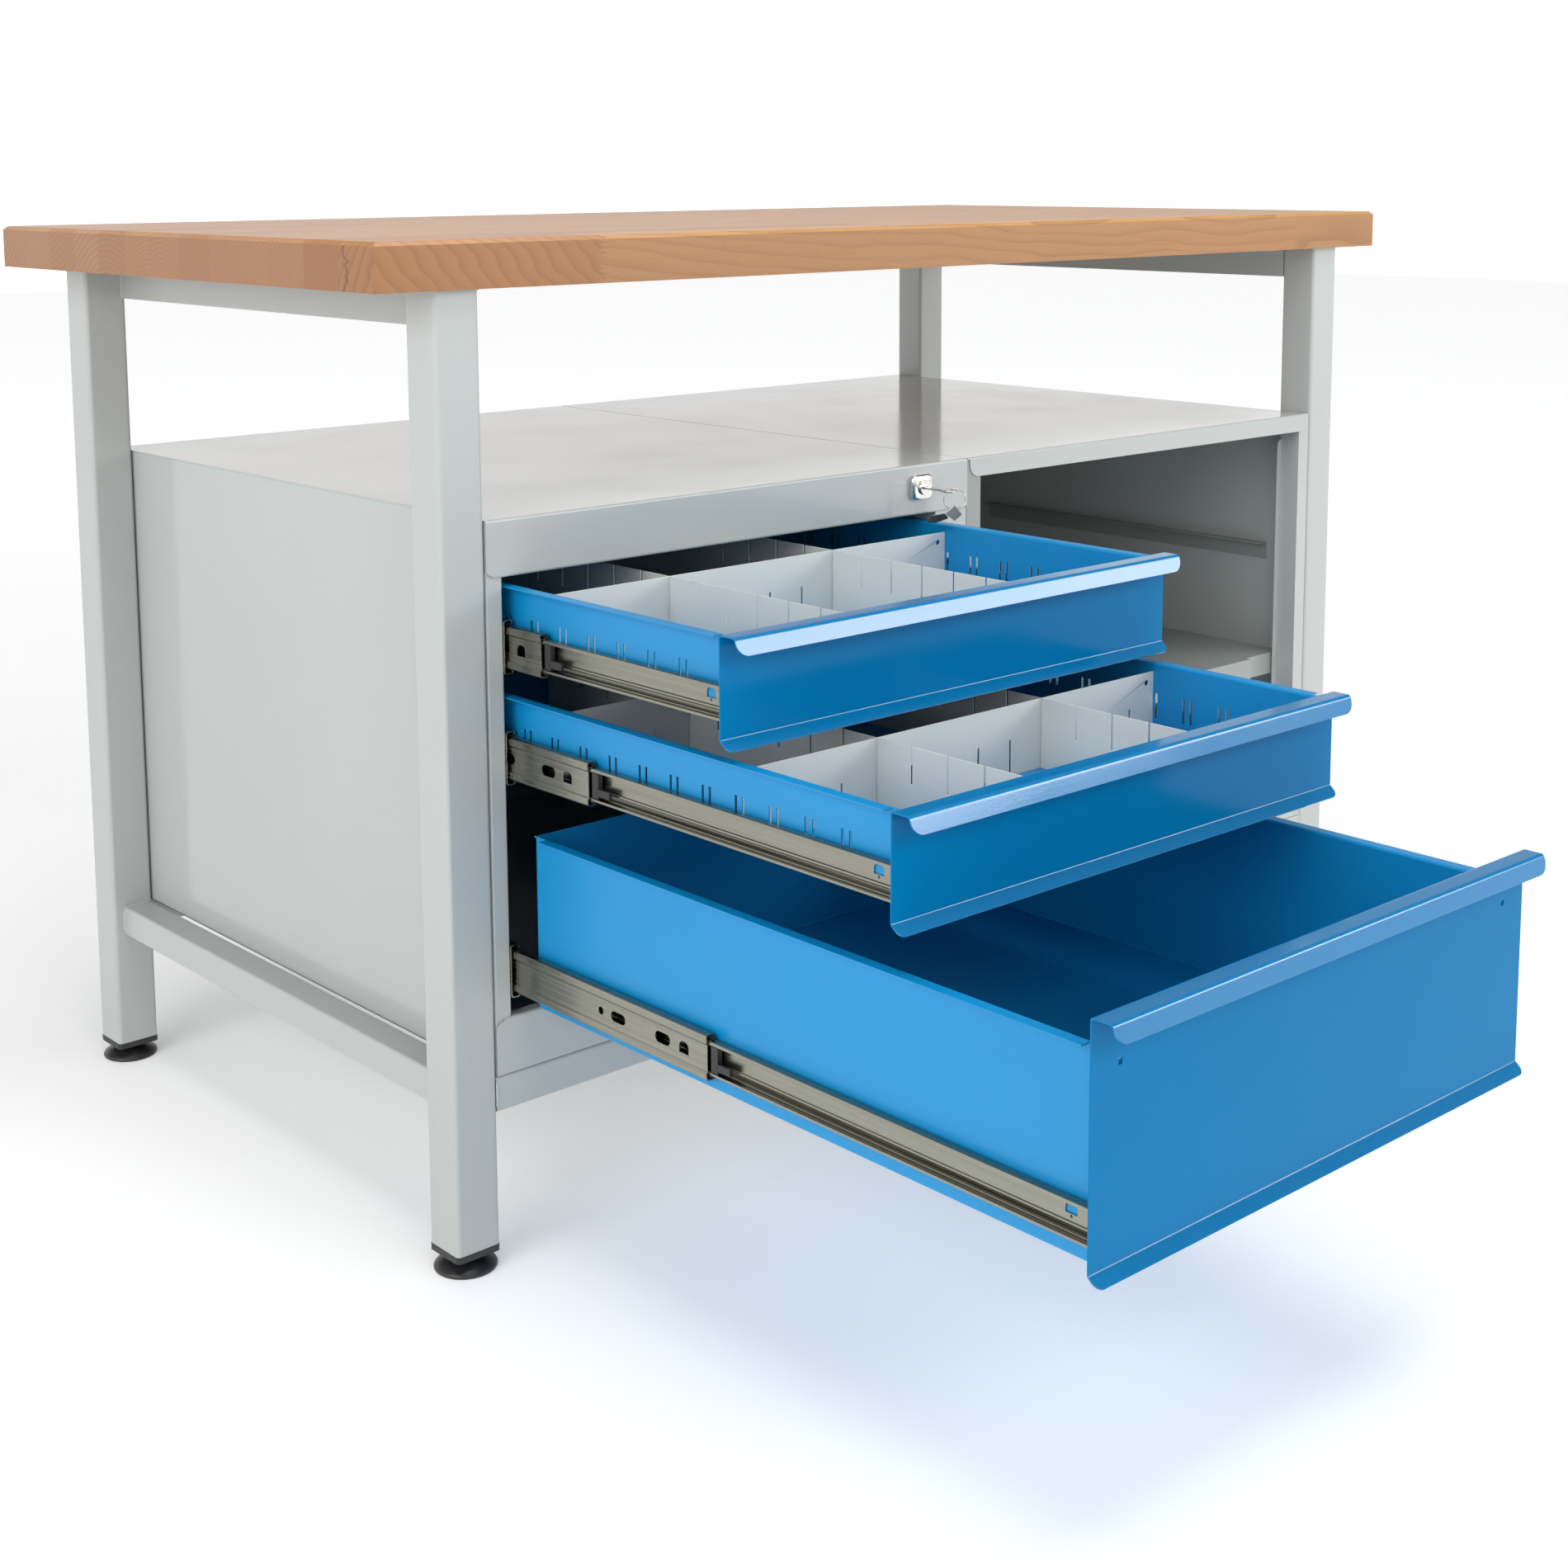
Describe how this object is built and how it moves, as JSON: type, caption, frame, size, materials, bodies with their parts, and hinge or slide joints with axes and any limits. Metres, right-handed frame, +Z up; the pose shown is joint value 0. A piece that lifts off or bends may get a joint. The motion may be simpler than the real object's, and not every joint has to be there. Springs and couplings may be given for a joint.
{
  "type": "workbench with drawers",
  "caption": "Free-standing workbench: solid wood top on a welded tube frame, a lockable cabinet of sliding drawers beside an open cabinet with a shelf.",
  "frame": {"origin": "on the floor, under the middle of the frame (midway between the four feet)", "axes": "+X along the worktop to the right seen from the front, +Y to the back, +Z up"},
  "size_m": [1.31, 1.3046, 0.85],
  "materials": {
    "beech": "oiled, satin",
    "frame_paint": "light grey powder coat, satin",
    "cabinet_paint": "light grey powder coat, semi-gloss",
    "drawer_paint": "light blue powder coat, semi-gloss",
    "front_paint": "light blue powder coat, semi-gloss",
    "divider_paint": "light grey sheet, satin",
    "slide_zinc": "zinc plated",
    "fastener_zinc": "zinc plated",
    "cap_plastic": "moulded black",
    "foot_plastic": "moulded black, fine grain",
    "stop_plastic": "moulded black",
    "lock_chrome": "polished",
    "key_nickel": "nickel plated",
    "key_plastic": "moulded black"
  },
  "bodies": {
    "frame": {"worktop": "beech", "leg_front_left": "frame_paint", "leg_front_right": "frame_paint", "leg_rear_left": "frame_paint", "leg_rear_right": "frame_paint", "top_rail_left": "frame_paint", "top_rail_right": "frame_paint", "lower_rail_left": "frame_paint", "lower_rail_right": "frame_paint", "lower_rail_front": "frame_paint", "lower_rail_rear": "frame_paint", "leg_end_caps": "cap_plastic", "worktop_screws": "fastener_zinc", "cabinet_bolts": "fastener_zinc", "drawer_cabinet_left_side": "cabinet_paint", "drawer_cabinet_right_side": "cabinet_paint", "drawer_cabinet_top": "cabinet_paint", "drawer_cabinet_bottom": "cabinet_paint", "drawer_cabinet_back": "cabinet_paint", "slide_posts": "cabinet_paint", "shelf_cabinet_left_side": "cabinet_paint", "shelf_cabinet_right_side": "cabinet_paint", "shelf_cabinet_top": "cabinet_paint", "shelf_cabinet_bottom": "cabinet_paint", "shelf_cabinet_back": "cabinet_paint", "shelf": "cabinet_paint", "shelf_ledges": "cabinet_paint", "cabinet_slide_members": "slide_zinc", "slide_screws": "fastener_zinc", "lock_housing": "lock_chrome"},
    "foot_front_left": {"foot_front_left": "foot_plastic"},
    "foot_front_right": {"foot_front_right": "foot_plastic"},
    "foot_rear_left": {"foot_rear_left": "foot_plastic"},
    "foot_rear_right": {"foot_rear_right": "foot_plastic"},
    "drawer_top": {"drawer_box_top": "drawer_paint", "drawer_front_top": "front_paint", "drawer_slide_members_top": "slide_zinc", "long_dividers_top": "divider_paint", "cross_divider_top": "divider_paint"},
    "slide_top": {"middle_slide_members_top": "slide_zinc", "slide_stops_top": "stop_plastic"},
    "drawer_middle": {"drawer_box_middle": "drawer_paint", "drawer_front_middle": "front_paint", "drawer_slide_members_middle": "slide_zinc", "long_dividers_middle": "divider_paint", "cross_dividers_middle": "divider_paint"},
    "slide_middle": {"middle_slide_members_middle": "slide_zinc", "slide_stops_middle": "stop_plastic"},
    "drawer_bottom": {"drawer_box_bottom": "drawer_paint", "drawer_front_bottom": "front_paint", "drawer_slide_members_bottom": "slide_zinc"},
    "slide_bottom": {"middle_slide_members_bottom": "slide_zinc", "slide_stops_bottom": "stop_plastic"},
    "lock": {"lock_core": "key_nickel", "lock_cam": "fastener_zinc"},
    "lock_bar": {"lock_bar": "fastener_zinc"},
    "key": {"key": "key_nickel"},
    "key_ring": {"key_ring": "key_nickel", "spare_key_clip": "key_nickel", "spare_key": "key_plastic"}
  },
  "joints": [
    {"name": "foot_front_left_level", "type": "slide", "parent": "frame", "child": "foot_front_left", "axis": [0, 0, -1], "range_m": [0, 0.015]},
    {"name": "foot_front_right_level", "type": "slide", "parent": "frame", "child": "foot_front_right", "axis": [0, 0, -1], "range_m": [0, 0.015]},
    {"name": "foot_rear_left_level", "type": "slide", "parent": "frame", "child": "foot_rear_left", "axis": [0, 0, -1], "range_m": [0, 0.015]},
    {"name": "foot_rear_right_level", "type": "slide", "parent": "frame", "child": "foot_rear_right", "axis": [0, 0, -1], "range_m": [0, 0.015]},
    {"name": "drawer_top_slide", "type": "slide", "parent": "frame", "child": "drawer_top", "axis": [0, -1, 0], "range_m": [-0.27, 0.35]},
    {"name": "drawer_middle_slide", "type": "slide", "parent": "frame", "child": "drawer_middle", "axis": [0, -1, 0], "range_m": [-0.445, 0.175]},
    {"name": "drawer_bottom_slide", "type": "slide", "parent": "frame", "child": "drawer_bottom", "axis": [0, -1, 0], "range_m": [-0.619, 0.001]},
    {"name": "slide_top_run", "type": "slide", "parent": "frame", "child": "slide_top", "axis": [0, -1, 0], "range_m": [-0.1082, 0.1402]},
    {"name": "slide_middle_run", "type": "slide", "parent": "frame", "child": "slide_middle", "axis": [0, -1, 0], "range_m": [-0.1782, 0.0702]},
    {"name": "slide_bottom_run", "type": "slide", "parent": "frame", "child": "slide_bottom", "axis": [0, -1, 0], "range_m": [-0.28494, 0.00066]},
    {"name": "lock_turn", "type": "hinge", "parent": "frame", "child": "lock", "pos_m": [-0.066, -0.318, 0.6055], "axis": [0, 1, 0], "range_deg": [0, 90.2]},
    {"name": "lock_bar_lift", "type": "slide", "parent": "frame", "child": "lock_bar", "axis": [0, 0, 1], "range_m": [0, 0.01]},
    {"name": "key_pull", "type": "slide", "parent": "lock", "child": "key", "axis": [0, -1, 0], "range_m": [0, 0.034]},
    {"name": "key_ring_swing", "type": "hinge", "parent": "key", "child": "key_ring", "pos_m": [-0.066, -0.367, 0.6055], "axis": [0.7455, -0.6665, 0], "range_deg": [-20, 20]}
  ],
  "couplings": [
    {"joint": "slide_top_run", "follows": "drawer_top_slide", "ratio": 0.4},
    {"joint": "slide_middle_run", "follows": "drawer_middle_slide", "ratio": 0.4},
    {"joint": "slide_bottom_run", "follows": "drawer_bottom_slide", "ratio": 0.46},
    {"joint": "lock_turn", "follows": "lock_bar_lift", "rad_per_m": 157.08}
  ]
}
